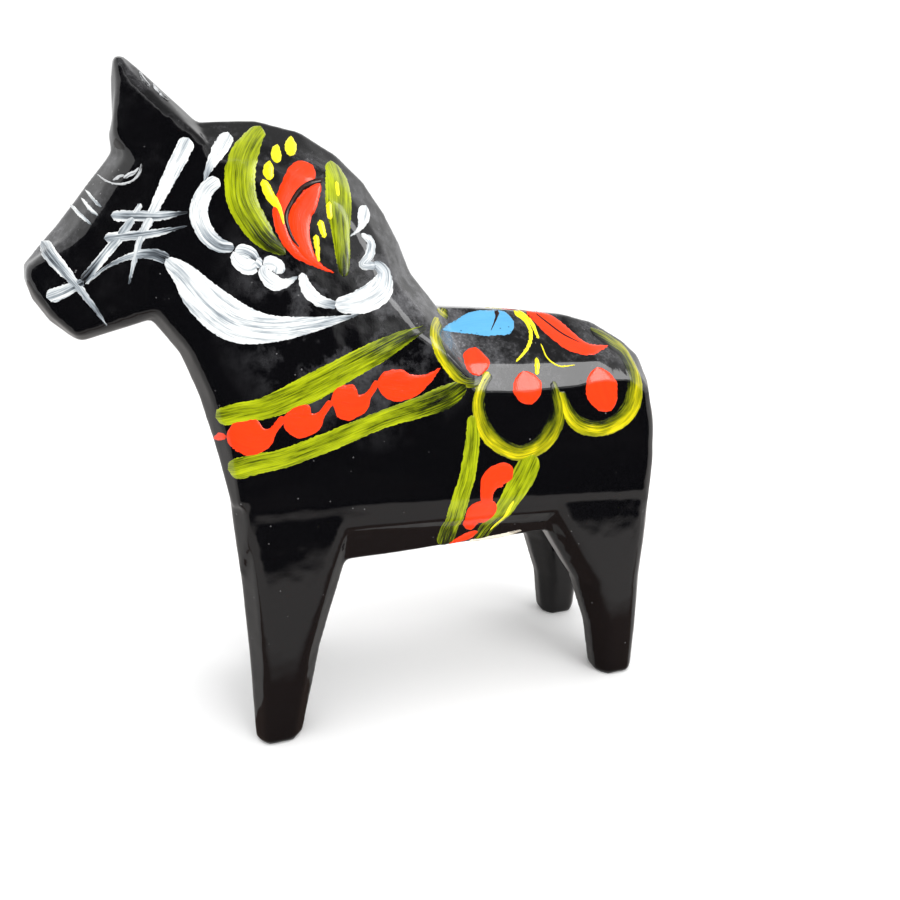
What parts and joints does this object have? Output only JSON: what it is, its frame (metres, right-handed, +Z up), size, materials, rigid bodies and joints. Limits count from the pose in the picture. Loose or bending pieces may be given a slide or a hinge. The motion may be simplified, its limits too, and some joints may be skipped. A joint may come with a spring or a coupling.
{
  "type": "wooden toy horse",
  "caption": "Free-standing carved wooden horse with knife-cut facets, gloss lacquer and hand-brushed folk decoration.",
  "frame": {"origin": "middle of the footprint, on the surface the four hooves stand on", "axes": "+Z up, the horse looks along -Y, and its left side is +X"},
  "size_m": [0.0444, 0.1219, 0.13],
  "materials": {
    "black_lacquer": "deep black gloss lacquer over carved pine",
    "green_paint": "streaky hand-brushed yellow-green, varnished",
    "yellow_paint": "bright lemon yellow brush line, varnished",
    "red_paint": "orange-red brush dabs, varnished",
    "blue_paint": "light blue brush dab, varnished",
    "white_paint": "white brush strokes, bluish where thin, varnished",
    "label_paper": "plain cream paper"
  },
  "bodies": {
    "root": {"carved_body": "black_lacquer", "belly_label": "label_paper", "breast_band_upper_left": "green_paint", "breast_band_upper_right": "green_paint", "breast_band_lower_left": "green_paint", "breast_band_lower_right": "green_paint", "breast_beads_left": "red_paint", "breast_beads_right": "red_paint", "girth_band_front_left": "green_paint", "girth_band_front_right": "green_paint", "girth_band_rear_left": "green_paint", "girth_band_rear_right": "green_paint", "girth_beads_left": "red_paint", "girth_beads_right": "red_paint", "saddle_loop_front_left": "yellow_paint", "saddle_loop_front_right": "yellow_paint", "saddle_loop_rear_left": "yellow_paint", "saddle_loop_rear_right": "yellow_paint", "saddle_loop_middle_left": "yellow_paint", "saddle_loop_middle_right": "yellow_paint", "saddle_leaf_blue_left": "blue_paint", "saddle_leaf_blue_right": "blue_paint", "saddle_leaf_red_left": "red_paint", "saddle_leaf_red_right": "red_paint", "saddle_dot_front_left": "red_paint", "saddle_dot_front_right": "red_paint", "saddle_dot_middle_left": "red_paint", "saddle_dot_middle_right": "red_paint", "saddle_dot_rear_left": "red_paint", "saddle_dot_rear_right": "red_paint", "mane_leaf_front_left": "green_paint", "mane_leaf_front_right": "green_paint", "mane_leaf_rear_left": "green_paint", "mane_leaf_rear_right": "green_paint", "mane_petal_left": "red_paint", "mane_petal_right": "red_paint", "mane_scroll_left": "white_paint", "mane_scroll_right": "white_paint", "mane_comma_front_left": "white_paint", "mane_comma_front_right": "white_paint", "mane_comma_rear_left": "white_paint", "mane_comma_rear_right": "white_paint", "neck_leaf_left": "white_paint", "neck_leaf_right": "white_paint", "bridle_left": "white_paint", "bridle_right": "white_paint"}
  },
  "joints": []
}
